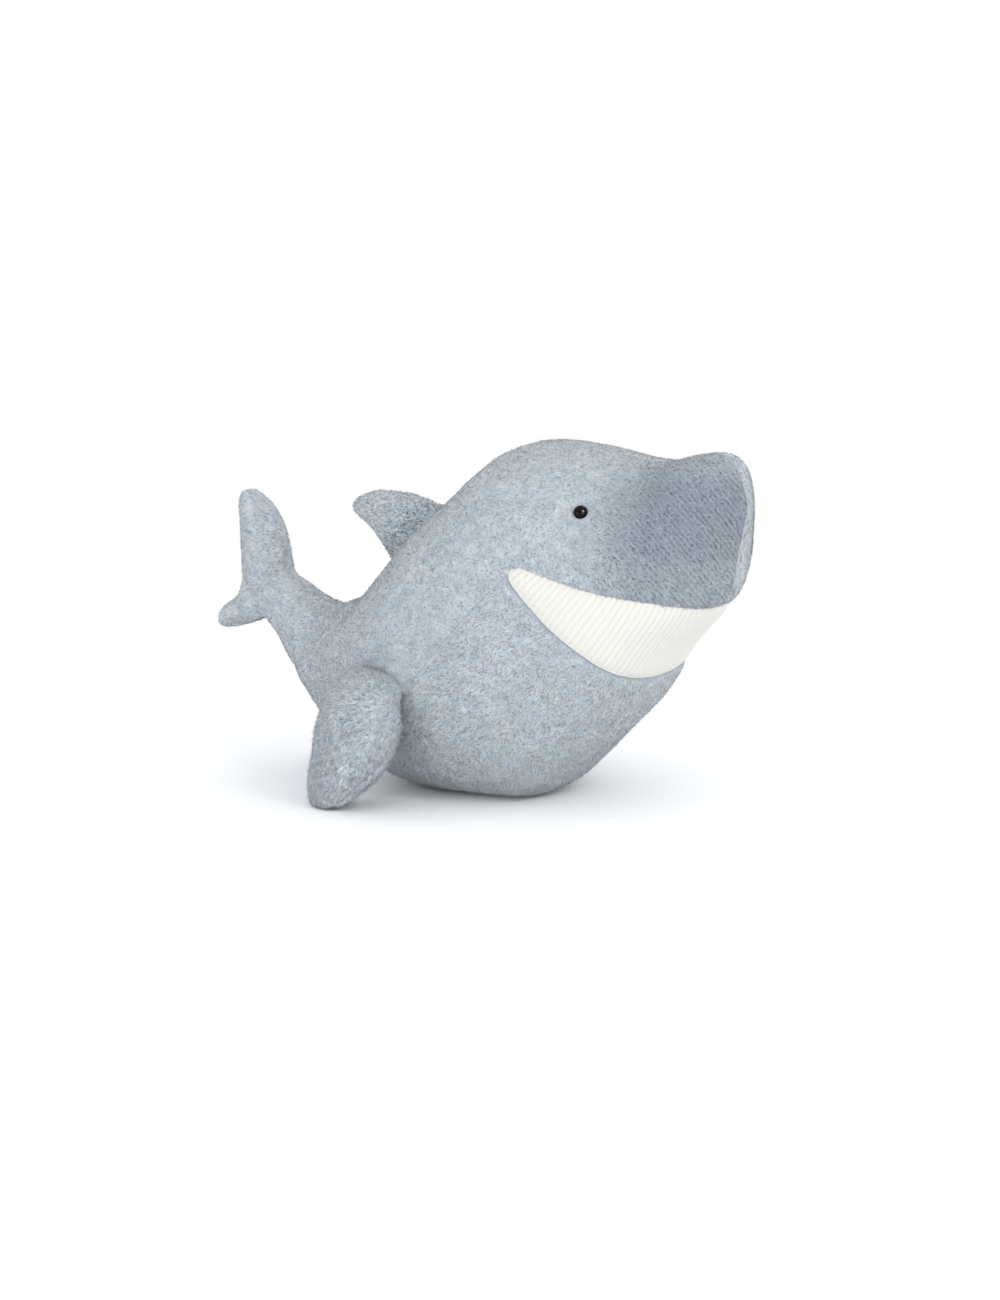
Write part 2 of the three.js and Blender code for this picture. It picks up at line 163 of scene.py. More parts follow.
def round_form(obj, voxel, passes, room):
    """Closed quads all over, the CAD's facets smoothed out, and the surface taken in to leave room for the pile."""
    finish_with(obj, "REMESH", mode="VOXEL", voxel_size=voxel * MM)
    for _ in range(passes):
        # each pass that eases the surface is followed by one that gives its fullness back
        finish_with(obj, "SMOOTH", factor=0.55, iterations=1)
        finish_with(obj, "SMOOTH", factor=-0.57, iterations=1)
    finish_with(obj, "SMOOTH", factor=0.5, iterations=2)
    place(obj, coords(obj) - normals(obj) * room * MM)
    return obj


def ease(obj, weight, iterations):
    """Smooths only where weight is high, as cloth rounds off a tight turn."""
    group = obj.vertex_groups.new(name="ease")
    for i in np.flatnonzero(weight > 0.02):
        group.add([int(i)], float(weight[i]), "REPLACE")
    finish_with(obj, "SMOOTH", factor=0.5, iterations=iterations, vertex_group="ease")
    obj.vertex_groups.clear()


def stuff(obj, held, pressure, cap):
    """The form is filled: cloth under pressure, held where it is sewn, and let out no further than cap."""
    before = coords(obj)
    group = obj.vertex_groups.new(name="sewn")
    for i, w in enumerate(held):
        if w > 0.01:
            group.add([i], float(w), "REPLACE")
    take(obj)
    cloth = obj.modifiers.new("filling", "CLOTH")
    s = cloth.settings
    s.quality = 4
    s.mass = 0.3
    s.tension_stiffness = s.compression_stiffness = 12
    s.shear_stiffness = 6
    s.bending_stiffness = 1.5
    s.use_pressure = True
    s.uniform_pressure_force = pressure
    s.effector_weights.gravity = 0
    s.vertex_group_mass = "sewn"
    cloth.collision_settings.use_collision = False
    for f in range(1, 21):
        scene.frame_set(f)
    take(obj)
    bpy.ops.object.modifier_apply(modifier=cloth.name)
    scene.frame_set(1)
    moved = coords(obj) - before
    far = np.linalg.norm(moved, axis=1, keepdims=True)
    place(obj, before + moved * np.minimum(1, cap * MM / np.maximum(far, 1e-9)))
    obj.vertex_groups.clear()
    finish_with(obj, "SMOOTH", factor=0.5, iterations=2)
    return obj


def along(line, step=7.0):
    """A seam's corners eased into a smooth line, as points (x, z) in metres."""
    p = np.array([line[0]] + list(line) + [line[-1]], float)
    out = []
    for i in range(1, len(p) - 2):
        n = max(1, int(np.linalg.norm(p[i + 1] - p[i]) / step))
        for k in range(n):
            t = k / n
            a, b, c, d = p[i - 1 : i + 3]
            out.append(
                0.5 * (2 * b + (c - a) * t + (2 * a - 5 * b + 4 * c - d) * t**2 + (3 * b - a - 3 * c + d) * t**3)
            )
    out.append(p[-2])
    return np.array(out) * MM


def cut_on(obj, spots, directions, reach):
    """Cuts the mesh along planes, each only near its own stretch of seam.
    spots are (point, along, length): a stretch of a seam line; directions the planes' normals."""
    take(obj)
    bpy.ops.object.mode_set(mode="EDIT")
    for (point, run, length), normal in zip(spots, directions):
        bm = bmesh.from_edit_mesh(obj.data)
        for f in bm.faces:
            f.select_set(False)
        for f in bm.faces:
            v = f.calc_center_median() - point
            if abs(v.dot(normal)) < reach and (length is None or -reach < v.dot(run) < length + reach):
                f.select_set(True)
        bmesh.update_edit_mesh(obj.data)
        bpy.ops.mesh.bisect(plane_co=point, plane_no=normal, use_fill=False)
    bpy.ops.object.mode_set(mode="OBJECT")
    return obj


SIDE_VIEW = (Vector((0, 0, 0)), Vector((1, 0, 0)), Vector((0, 0, 1)))


def seam_cuts(obj, line, view=SIDE_VIEW, reach=3.2 * MM):
    """Cuts a form along a seam line drawn in a flat view, given as its origin and two directions."""
    origin, first, second = view
    pts = along(line)
    spots, directions = [], []
    for a, b in zip(pts[:-1], pts[1:]):
        run = first * (b[0] - a[0]) + second * (b[1] - a[1])
        length = run.length
        run.normalize()
        spots.append((origin + first * a[0] + second * a[1], run, length))
        directions.append(run.cross(first.cross(second)))
    return cut_on(obj, spots, directions, reach)


def side_of(line, x, z):
    """Signed distance from a seam line in side view, positive on its upper side."""
    pts = along(line)
    best = np.full(len(x), 1e9)
    sign = np.zeros(len(x))
    for a, b in zip(pts[:-1], pts[1:]):
        d = b - a
        t = np.clip(((x - a[0]) * d[0] + (z - a[1]) * d[1]) / (d @ d), 0, 1)
        px, pz = a[0] + t * d[0], a[1] + t * d[1]
        r = np.hypot(x - px, z - pz)
        s = np.sign(d[0] * (z - pz) - d[1] * (x - px))
        near = r < best
        best[near], sign[near] = r[near], s[near]
    return best * sign


def spread(values, low, high):
    t = np.clip((values - low) / (high - low), 0, 1)
    return t * t * (3 - 2 * t)


def spot(co, x, z, size):
    """1 at a place in side view, falling off to 0 over that size in mm."""
    return np.exp(-(((co[:, 0] - x * MM) / (size * MM)) ** 2 + ((co[:, 2] - z * MM) / (size * MM)) ** 2))


def rolling(co, size, seed):
    """Smooth noise from -1 to 1 at each point, with lumps of that size in mm."""
    offset = Vector((seed * 3.7, seed * 1.3, seed * 2.1))
    scale = 1 / (size * MM)
    return np.array([noise.noise(Vector(p) * scale + offset) for p in co]) * 1.6


# ------------------------------------------------------------------ materials
MIX_A, MIX_B, MIX_OUT = 6, 7, 2  # a Mix node's colour sockets
# painted shade: the dark grey mixed into the pile's backing where the pile is bent open, and the most of it that
# shows
PARTED_SHADE_COLOUR = "#6f7b87"
PARTED_SHADE_SHOWN = 0.9


def from_hex(text):
    channels = [int(text[i : i + 2], 16) / 255 for i in (1, 3, 5)]
    return (*[c / 12.92 if c <= 0.04045 else ((c + 0.055) / 1.055) ** 2.4 for c in channels], 1)


def node(tree, kind, links=None, **settings):
    """Adds one node. Settings name its properties or its sockets, links feed its sockets."""
    n = tree.nodes.new(kind)
    for key, value in settings.items():
        if hasattr(n, key):
            setattr(n, key, value)
        else:
            n.inputs[key.replace("_", " ")].default_value = value
    for key, source in (links or {}).items():
        tree.links.new(source, n.inputs[key])
    return n


def start(name):
    m = bpy.data.materials.new(name)
    m.use_nodes = True
    tree = m.node_tree
    tree.nodes.clear()
    out = tree.nodes.new("ShaderNodeOutputMaterial")
    shader = tree.nodes.new("ShaderNodeBsdfPrincipled")
    tree.links.new(shader.outputs[0], out.inputs[0])
    where = node(tree, "ShaderNodeTexCoord").outputs["Object"]
    return m, tree, shader, where


def ramp(tree, source, stops):
    n = node(tree, "ShaderNodeValToRGB", {0: source})
    n.color_ramp.elements[0].position, n.color_ramp.elements[0].color = stops[0][0], from_hex(stops[0][1])
    n.color_ramp.elements[1].position, n.color_ramp.elements[1].color = stops[-1][0], from_hex(stops[-1][1])
    for at, colour in stops[1:-1]:
        e = n.color_ramp.elements.new(at)
        e.color = from_hex(colour)
    return n


def knitted_backing(name, light, mid, dark):
    """Heather polyester pile on a knitted backing: mixed grey fibres, dull, with a faint sheen."""
    m, tree, shader, where = start(name)
    fibres = node(tree, "ShaderNodeTexNoise", {"Vector": where}, Scale=1 / 0.0016, Detail=3.0, Roughness=0.65)
    patches = node(tree, "ShaderNodeTexNoise", {"Vector": where}, Scale=1 / 0.006, Detail=2.0, Roughness=0.5)
    mixed = node(tree, "ShaderNodeMath", {0: fibres.outputs["Fac"], 1: patches.outputs["Fac"]}, operation="ADD")
    half = node(tree, "ShaderNodeMath", {0: mixed.outputs[0]}, operation="MULTIPLY")
    half.inputs[1].default_value = 0.5
    colour = ramp(tree, half.outputs[0], [(0.38, dark), (0.5, mid), (0.62, light)])
    # painted shade: the parted attribute mixes the backing's colour towards that dark grey
    parted_shade = node(tree, "ShaderNodeAttribute", attribute_name="parted_shade")
    shade_shown = node(tree, "ShaderNodeMath", {0: parted_shade.outputs["Fac"]}, operation="MULTIPLY")
    shade_shown.inputs[1].default_value = PARTED_SHADE_SHOWN
    both = {0: shade_shown.outputs[0], MIX_A: colour.outputs["Color"]}
    shaded = node(tree, "ShaderNodeMix", both, data_type="RGBA")
    shaded.inputs[MIX_B].default_value = from_hex(PARTED_SHADE_COLOUR)
    tree.links.new(shaded.outputs[MIX_OUT], shader.inputs["Base Color"])
    bump = node(tree, "ShaderNodeBump", {"Height": fibres.outputs["Fac"]}, Strength=0.5, Distance=0.0008)
    tree.links.new(bump.outputs["Normal"], shader.inputs["Normal"])
    shader.inputs["Roughness"].default_value = 0.95
    shader.inputs["Sheen Weight"].default_value = 0.25
    shader.inputs["Sheen Roughness"].default_value = 0.5
    return m


def pile_fibre(name, colour):
    """Short polyester pile, one of the yarn shades that make the heather: soft, dull fibre tips."""
    m, _, shader, _ = start(name)
    shader.inputs["Base Color"].default_value = from_hex(colour)
    shader.inputs["Roughness"].default_value = 0.9
    shader.inputs["Specular IOR Level"].default_value = 0.08
    shader.inputs["Sheen Weight"].default_value = 0.15
    shader.inputs["Sheen Roughness"].default_value = 0.4
    return m


def corduroy(name):
    """White cotton corduroy, cut pile in rounded ribs: matt, with a little shade and lint between ribs."""
    m, tree, shader, where = start(name)
    lint = node(tree, "ShaderNodeTexNoise", {"Vector": where}, Scale=1 / 0.0009, Detail=3.0, Roughness=0.7)
    rib = node(tree, "ShaderNodeAttribute", attribute_name="rib_height")
    shade = ramp(tree, rib.outputs["Fac"], [(0.0, "#c6c4be"), (0.35, "#cfcec9"), (1.0, "#d4d3cf")])
    soft = ramp(tree, lint.outputs["Fac"], [(0.3, "#f1f0ed"), (0.7, "#ffffff")])
    both = {MIX_A: shade.outputs["Color"], MIX_B: soft.outputs["Color"]}
    speck = node(tree, "ShaderNodeMix", both, data_type="RGBA", blend_type="MULTIPLY")
    speck.inputs[0].default_value = 1.0
    tree.links.new(speck.outputs[MIX_OUT], shader.inputs["Base Color"])
    bump = node(tree, "ShaderNodeBump", {"Height": lint.outputs["Fac"]}, Strength=0.35, Distance=0.0004)
    tree.links.new(bump.outputs["Normal"], shader.inputs["Normal"])
    shader.inputs["Roughness"].default_value = 0.9
    shader.inputs["Sheen Weight"].default_value = 0.2
    return m


def moulded_bead(name):
    """Black acrylic safety eye, moulded and polished: a dark, high gloss with small sharp highlights."""
    m, tree, shader, where = start(name)
    depth = node(tree, "ShaderNodeTexNoise", {"Vector": where}, Scale=1 / 0.004, Detail=1.0)
    colour = ramp(tree, depth.outputs["Fac"], [(0.3, "#030304"), (0.7, "#070708")])
    tree.links.new(colour.outputs["Color"], shader.inputs["Base Color"])
    shader.inputs["Roughness"].default_value = 0.08
    shader.inputs["IOR"].default_value = 1.49
    shader.inputs["Specular IOR Level"].default_value = 0.14
    return m


def plain_inside(name, light, dark, size, rough, height):
    """An inner material that a seam or a damaged toy would show: fibre, bag cloth, pellets or washer."""
    m, tree, shader, where = start(name)
    grain = node(tree, "ShaderNodeTexNoise", {"Vector": where}, Scale=1 / (size * MM), Detail=4.0, Roughness=0.7)
    colour = ramp(tree, grain.outputs["Fac"], [(0.35, dark), (0.65, light)])
    tree.links.new(colour.outputs["Color"], shader.inputs["Base Color"])
    bump = node(tree, "ShaderNodeBump", {"Height": grain.outputs["Fac"]}, Strength=0.6, Distance=height * MM)
    tree.links.new(bump.outputs["Normal"], shader.inputs["Normal"])
    shader.inputs["Roughness"].default_value = rough
    return m


# deep is painted shade, the colour of the shadow in the pile: used in its gaps, along seams, round the snout and at
# the dorsal fin's root. light, mid and dark are the heather's yarn shades, and dark also carries some of that painted
# shade.
HEATHER = {"light": "#cdcfd0", "mid": "#b9bec1", "dark": "#949da5", "deep_shade": "#68737f"}
FIN_HEATHER = {"light": "#ced3d6", "mid": "#bfc5ca", "dark": "#9ba5af", "deep_shade": "#727d89"}
# the backings' own heather tones, set a little darker than the pile's as painted shade between the tufts
torso_cloth = knitted_backing("heather_fleece_knitted_backing", "#b4bbc1", "#a6afb6", "#96a1aa")
fin_cloth = knitted_backing("heather_long_fleece_knitted_backing", "#bac1c7", "#acb5bc", "#9ca7b0")
torso_pile = {k: pile_fibre(f"heather_fleece_{k}_fibre", v) for k, v in HEATHER.items()}
fin_pile = {k: pile_fibre(f"heather_long_fleece_{k}_fibre", v) for k, v in FIN_HEATHER.items()}
white_corduroy = corduroy("white_corduroy_cut_pile")
black_acrylic = moulded_bead("black_acrylic_polished_bead")


def dress(obj, material, slot):
    obj.data.materials.clear()
    obj.data.materials.append(material)
    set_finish(obj, slot)
    return obj


# ------------------------------------------------------------------ one tuft of pile
deselect()
bpy.ops.mesh.primitive_cone_add(
    vertices=3, radius1=1, radius2=0, depth=1, location=(0, 0, 0.5), end_fill_type="TRIFAN"
)
tuft = settle(bpy.context.object)
bpy.ops.object.mode_set(mode="EDIT")
bpy.ops.mesh.select_all(action="SELECT")
bpy.ops.mesh.remove_doubles(threshold=1e-5)
bpy.ops.mesh.quads_convert_to_tris()
bpy.ops.object.mode_set(mode="OBJECT")
deselect()
# a closed spike with its foot at z = 0 and its tip at z = 1, kept as plain points and faces
tuft_points = coords(tuft)
foot_middle = [i for i, p in enumerate(tuft_points) if p[2] < 0.5 and np.hypot(p[0], p[1]) < 0.5]
tuft_faces = [
    tuple(p.vertices) for p in tuft.data.polygons if not set(p.vertices) & set(foot_middle)
]
keep = [i for i in range(len(tuft_points)) if i not in foot_middle]
renumber = {old: new for new, old in enumerate(keep)}
tuft_points = tuft_points[keep]
tuft_faces = np.array([[renumber[v] for v in f] for f in tuft_faces])
foot = [i for i in range(len(tuft_points)) if tuft_points[i][2] < 0.5]
a, b, c = foot
flat = np.cross(tuft_points[b] - tuft_points[a], tuft_points[c] - tuft_points[a])[2]
tuft_faces = np.vstack([tuft_faces, [[a, c, b] if flat > 0 else [a, b, c]]])
bpy.data.objects.remove(tuft)
TUFT_FLATNESS = 0.5  # how thick a tuft is, as a share of its width
STRAY_SHARE = 0.15  # thin single fibres that stand up out of the nap and soften the outline


def tree_of(points):
    tree = kdtree.KDTree(len(points))
    for i, p in enumerate(points):
        tree.insert(p, i)
    tree.balance()
    return tree


def lay_pile(
    surface, name, shades, slot, per_mm2, length, width, lift, nap, seed, seams, mix, short=None, wander=0.35
):
    """Tufts all over a surface, one mesh for each shade of tuft. nap gives the way the pile lies, mix the share
    of each shade, and short scales the length at each point. Along the seams the pile is shorter, and painted shade
    turns more of its tufts deep and dark."""
    rng = np.random.default_rng(seed)
    mesh = surface.data
    mesh.calc_loop_triangles()
    tri = np.empty(len(mesh.loop_triangles) * 3, np.int32)
    mesh.loop_triangles.foreach_get("vertices", tri)
    tri = tri.reshape(-1, 3)
    co, no = coords(surface), normals(surface)
    p0, p1, p2 = co[tri[:, 0]], co[tri[:, 1]], co[tri[:, 2]]
    area = np.linalg.norm(np.cross(p1 - p0, p2 - p0), axis=1) / 2
    count = int(area.sum() / MM**2 * per_mm2)
    pick = np.searchsorted(np.cumsum(area) / area.sum(), rng.random(count))
    u, v = rng.random((2, count))
    over = u + v > 1
    u[over], v[over] = 1 - u[over], 1 - v[over]
    w = 1 - u - v
    root = p0[pick] * w[:, None] + p1[pick] * u[:, None] + p2[pick] * v[:, None]
    up = no[tri[pick, 0]] * w[:, None] + no[tri[pick, 1]] * u[:, None] + no[tri[pick, 2]] * v[:, None]
    up /= np.linalg.norm(up, axis=1, keepdims=True)
    lie = nap(root)
    lie = lie + rng.normal(0, wander, lie.shape)
    lie -= up * np.einsum("ij,ij->i", lie, up)[:, None]
    lie /= np.maximum(np.linalg.norm(lie, axis=1, keepdims=True), 1e-9)
    stray = rng.random(count) < STRAY_SHARE
    tilt = np.radians(lift + rng.normal(0, 9, count) + 28 * stray)[:, None]
    axis = lie * np.cos(tilt) + up * np.sin(tilt)
    long = length * MM * (0.75 + 0.5 * rng.random(count))
    to_seam = np.array([seams.find(p)[2] for p in root])
    long = long * (0.5 + 0.5 * spread(to_seam, 0.5 * MM, 2.6 * MM))
    if short is not None:
        long = long * short(root)
    side = np.cross(axis, up)
    side /= np.maximum(np.linalg.norm(side, axis=1, keepdims=True), 1e-9)
    third = np.cross(side, axis)
    wide = width * MM * (0.7 + 0.6 * rng.random(count)) * 0.58 * np.where(stray, 0.5, 1)
    sunk = root - up * 0.35 * MM
    pts = (
        sunk[:, None, :]
        + side[:, None, :] * (tuft_points[None, :, 0] * wide[:, None])[:, :, None]
        + third[:, None, :] * (tuft_points[None, :, 1] * wide[:, None] * TUFT_FLATNESS)[:, :, None]
        + axis[:, None, :] * (tuft_points[None, :, 2] * long[:, None])[:, :, None]
    )
    pts[:, :, 2] = np.maximum(pts[:, :, 2], 0.05 * MM)
    kept = long > 0.5 * MM
    share = mix(root)
    # painted shade along the seams: near them a share of the tufts is moved to deep and dark
    parted_shade = np.exp(-((to_seam / (1.1 * MM)) ** 2))[:, None]
    share = share * (1 - 0.6 * parted_shade) + parted_shade * np.array([[0.3, 0.3, 0, 0]])
    chance = rng.random(count)
    which = (chance[:, None] > np.cumsum(share, axis=1)).sum(1).clip(0, 3)
    made = []
    for k, shade in enumerate(("deep_shade", "dark", "mid", "light")):
        chosen = pts[(which == k) & kept]
        if not len(chosen):
            continue
        n, corners = len(chosen), len(tuft_points)
        faces = (tuft_faces[None] + (np.arange(n) * corners)[:, None, None]).reshape(-1, 3)
        pile = bpy.data.meshes.new(f"{name}_{shade}")
        pile.vertices.add(n * corners)
        pile.vertices.foreach_set("co", chosen.astype(np.float32).ravel())
        pile.loops.add(len(faces) * 3)
        pile.loops.foreach_set("vertex_index", faces.astype(np.int32).ravel())
        pile.polygons.add(len(faces))
        pile.polygons.foreach_set("loop_start", np.arange(0, len(faces) * 3, 3, dtype=np.int32))
        pile.update(calc_edges=True)
        o = bpy.data.objects.new(f"{name}_{shade}", pile)
        scene.collection.objects.link(o)
        dress(o, shades[shade], slot)
        made.append(o)
    return made


def mirrored(obj, name):
    """The same piece for the shark's left side."""
    o = bpy.data.objects.new(name, obj.data.copy())
    scene.collection.objects.link(o)
    co = coords(o)
    co[:, 1] *= -1
    place(o, co)
    take(o)
    bpy.ops.object.mode_set(mode="EDIT")
    bpy.ops.mesh.select_all(action="SELECT")
    bpy.ops.mesh.flip_normals()
    bpy.ops.object.mode_set(mode="OBJECT")
    if "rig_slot" in obj:
        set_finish(o, obj["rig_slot"])
    return o


def part(obj, label, names):
    """Splits a form into panels by the number each face carries."""
    mesh = obj.data
    mesh.materials.clear()
    for n in names:
        mesh.materials.append(bpy.data.materials.new(f"panel {n}"))
    mesh.polygons.foreach_set("material_index", np.asarray(label, np.int32))
    take(obj)
    bpy.ops.object.mode_set(mode="EDIT")
    bpy.ops.mesh.separate(type="MATERIAL")
    bpy.ops.object.mode_set(mode="OBJECT")
    found = {}
    for o in list(bpy.context.selected_objects):
        if not o.data.polygons:
            bpy.data.objects.remove(o)
            continue
        n = o.data.materials[o.data.polygons[0].material_index].name.split(" ")[1]
        o.name = o.data.name = n
        found[n] = o
    for n in names:
        bpy.data.materials.remove(bpy.data.materials[f"panel {n}"])
    return found


def face_middles(obj):
    c = np.empty(len(obj.data.polygons) * 3, np.float32)
    obj.data.polygons.foreach_get("center", c)
    return c.reshape(-1, 3).astype(float)


def draw_in(obj, tree, depth, width):
    """Pulls cloth in along its seams, by a depth that may differ from point to point."""
    co, no = coords(obj), normals(obj)
    gap = np.array([tree.find(p)[2] for p in co])
    place(obj, co - no * (depth * MM * np.exp(-((gap / (width * MM)) ** 2)))[:, None])


def thicken(obj, thick=1.6):
    """Cloth with its backing: the panel turned in at its edges."""
    finish_with(obj, "SOLIDIFY", thickness=thick * MM, offset=-1, use_rim=True, use_even_offset=False)
    bpy.ops.object.shade_smooth()
    return obj


# ------------------------------------------------------------------ the torso, tail and fluke
form = copies_of(
    [
        "side_panel_left", "side_panel_right", "belly_panel", "mouth_panel", "body_stuffing",
        "tail_panel_left", "tail_panel_right", "tail_stuffing",
        "fluke_panel_left", "fluke_panel_right", "fluke_stuffing", "bean_pouch", "bean_pellets",
    ],
    plugs=[
        (TAIL_HINGE, (21 * MM, 22.5 * MM, 23.5 * MM), (0, math.radians(-37.7), 0)),
        (TAIL_HINGE - STEM * 8 * MM, (21 * MM, 25 * MM, 26 * MM), (0, math.radians(-37.7), 0)),
        (TAIL_HINGE + STEM * 9 * MM, (19 * MM, 19.5 * MM, 20.5 * MM), (0, math.radians(-37.7), 0)),
        (FLUKE_HINGE + Vector((2, 0, 0)) * MM, (14 * MM, 11.5 * MM, 13.5 * MM), (0, 0, 0)),
    ],
)
round_form(form, voxel=3.2, passes=8, room=0)
co = coords(form)
ease(form, np.exp(-(((co[:, 0] + 94 * MM) / (17 * MM)) ** 2 + ((co[:, 2] - 100 * MM) / (19 * MM)) ** 2)), 40)
co = coords(form)

# taken in by the thickness of the pile, less at the thin end of the tail, and let out again where it is fuller
let_out = (
    -1.1
    + 0.9 * spread(-co[:, 0], 118 * MM, 145 * MM)
    + 2.9 * spot(co, -92, 99, 12)
    + 1.7 * spot(co, -127, 108, 12)
    + 1.5 * spot(co, -147, 81, 8)
    - 0.7 * spot(co, -146, 118, 12)
    + 0.7 * spot(co, -172, 122, 20)
    + 1.3 * spot(co, -178, 82, 9)
    + 2.2 * spot(co, 146, 116, 14)
    - 0.6 * spot(co, 148, 188, 14)
    - 1.6 * spot(co, 88, 196, 24)
    - 0.9 * spot(co, -14, 176, 22)
    + 0.6 * spot(co, 85, 40, 25)
    - 0.5 * spot(co, -110, 48, 22)
)
co = co + normals(form) * (let_out * MM)[:, None]
co += np.array([-1.6, 0, 2.3]) * MM * spot(co, -167, 157, 13)[:, None]
co += np.array([-3.6, 0, -0.4]) * MM * spot(co, -180, 74, 13)[:, None]
place(form, co)
near_lips = np.minimum(
    np.abs(side_of(UPPER_LIP, co[:, 0], co[:, 2])), np.abs(side_of(LOWER_LIP, co[:, 0], co[:, 2]))
)
near_seam = np.minimum(near_lips, np.abs(side_of(SIDE_SEAM, co[:, 0], co[:, 2])))
sewn = 1 - spread(near_seam, 2 * MM, 9 * MM)
sewn = np.maximum(sewn, 1 - spread(co[:, 2], 1 * MM, 6 * MM))
sewn = np.maximum(sewn, spread(-co[:, 0], 100 * MM, 125 * MM) * 0.9)
stuff(form, sewn * 0.95, pressure=4.0, cap=1.2)
finish_with(form, "SUBSURF", levels=1, render_levels=1)

# lumps of fibre, the folds where the tail turns up, and the flat it sits on
co, no = coords(form), normals(form)
lumps = rolling(co, 34, 1) * 0.6 + rolling(co, 15, 2) * 0.15
to_hinge = (co - np.array(TAIL_HINGE)) @ np.array(STEM)
fold_zone = (
    np.exp(-(((to_hinge + 9 * MM) / (15 * MM)) ** 2))
    * spread(np.abs(co[:, 1]), 8 * MM, 17 * MM)
    * spot(co, -101, 78, 16)
)
folds = np.sin(to_hinge / (12 * MM) * 2 * np.pi + rolling(co, 40, 5) * 1.2) * fold_zone * 1.2
brow = -1.1 * np.exp(-(((co[:, 0] - 111 * MM) / (8 * MM)) ** 2)) * spread(co[:, 2], 150 * MM, 188 * MM)
co = co + no * ((lumps + folds + brow) * MM)[:, None]
EYE_SHIFT = np.array([-2.0, 0, 2.1]) * MM  # from the CAD eye to the middle of the dimple in the filled form
eye_spots = [np.array(sum(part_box(n), Vector()) / 2) + EYE_SHIFT for n in ("eye_right", "eye_left")]
for e in eye_spots:
    d = np.linalg.norm(co - e, axis=1)
    co = co - no * (1.7 * MM * np.exp(-((d / (7 * MM)) ** 2)))[:, None]
co[:, 2] = np.maximum(co[:, 2], 0.6 * MM)
place(form, co)

for line in (SIDE_SEAM, UPPER_LIP, LOWER_LIP):
    seam_cuts(form, line)
cut_on(form, [(Vector((0, 0, 0)), Vector((1, 0, 0)), None)], [Vector((0, 1, 0))], 4 * MM)
cut_on(form, [(STEM_SPLIT, Vector((0, 0, 1)), None)], [STEM], 4 * MM)

co = coords(form)
x, y, z = co.T


def panel_of(x, y, z):
    """0 and 1 side panels, 2 belly, 3 mouth, 4 and 5 the tail's end."""
    side, upper, lower = (side_of(line, x, z) for line in (SIDE_SEAM, UPPER_LIP, LOWER_LIP))
    front = x > MOUTH_CORNER
    mouth = front & (upper < 0) & (lower > 0)
    belly = np.where(front, lower < 0, side > 0) & ~mouth & (x > BELLY_ENDS)
    beyond = ((np.stack([x, y, z], 1) - np.array(STEM_SPLIT)) @ np.array(STEM)) > 0
    out = np.where(y > 0, 1, 0)
    out[belly] = 2
    out[mouth] = 3
    tail_end = beyond & (x < TAIL_SIDE)
    out[tail_end] = np.where(y[tail_end] > 0, 5, 4)
    return out


middles = face_middles(form)
label = panel_of(*middles.T)
# seam points: corners of edges between two panels, and not the hidden line across the stem
edges = {}
seam_ids, lip_ids = set(), set()
for p, k in zip(form.data.polygons, label):
    for e in p.edge_keys:
        if e in edges and edges[e] != k:
            pair = {edges[e], int(k)}
            if pair not in ({0, 4}, {1, 5}):
                (lip_ids if 3 in pair else seam_ids).update(e)
        edges[e] = int(k)
seam_points = [Vector(co[i]) for i in seam_ids]
lip_points = [Vector(co[i]) for i in lip_ids]
at_nose = spread(x, 110 * MM, 140 * MM) * (1 - spread(np.abs(y), 3 * MM, 7 * MM))
on_back = (z > BACK_SEAM_ABOVE) & (np.abs(y) < 8 * MM)
draw_in(form, tree_of(seam_points + lip_points), np.where(on_back, 0.5, 1.3) + 1.4 * at_nose, 2.9 - 0.9 * at_nose)
co = coords(form)
seams = tree_of([Vector(co[i]) for i in seam_ids])
lips = tree_of([Vector(co[i]) for i in lip_ids])
panels = part(
    form, label,
    ["side_right_cloth", "side_left_cloth", "belly_cloth", "mouth_corduroy", "tail_right_cloth", "tail_left_cloth"],
)


def clear_of_eyes(root):
    d = np.minimum(*[np.linalg.norm(root - e, axis=1) for e in eye_spots])
    return spread(d, 3.4 * MM, 8 * MM) * 0.85 + 0.15 * (d > 4.4 * MM)


def down_the_side(root):
    """On the side panels the pile lies forward, level at the tail and steeper towards the snout."""
    snout = spread(root[:, 0], 80 * MM, 115 * MM)
    wander = 16 * rolling_fast(root, 24, 3) * (1 - 0.7 * snout)
    steep = np.radians(8 + 42 * spread(root[:, 0], -70 * MM, 130 * MM) + wander)
    firm = 1 + 1.6 * snout
    return np.stack([np.cos(steep), -0.25 * np.sign(root[:, 1]), -np.sin(steep)], 1) * firm[:, None]


def down_the_belly(root):
    steep = np.radians(42 + 16 * rolling_fast(root, 22, 9))
    return np.stack([-np.cos(steep), 0.1 * np.sign(root[:, 1]), -np.sin(steep)], 1)


def rolling_fast(root, size, seed):
    """A cheap smooth wander for many points: sums of slanted waves."""
    rng = np.random.default_rng(seed)
    out = np.zeros(len(root))
    for _ in range(5):
        k = rng.normal(0, 1, 3)
        k *= 2 * np.pi / (size * MM * (0.7 + rng.random())) / np.linalg.norm(k)
        out += np.sin(root @ k + rng.random() * 6.28)
    return out / 2.4


def shade_round_the_snout(root):
    """How much painted shade the snout's pile gets, from 0 to 1, standing for the pile bent open there. On the right
    cheek the shade reaches the nose seam, and on the left cheek only further back, so the strip past the nose seam
    stays light."""
    x, y, z = root.T
    bent = spread(x, 74 * MM, 122 * MM) * (0.6 + 0.4 * spread(z, 118 * MM, 160 * MM)) * spread(z, 100 * MM, 112 * MM)
    bent *= 1 - 0.45 * spread(z, 178 * MM, 196 * MM)
    return bent * np.where(y > 0, spread(y, 11 * MM, 23 * MM), 1)


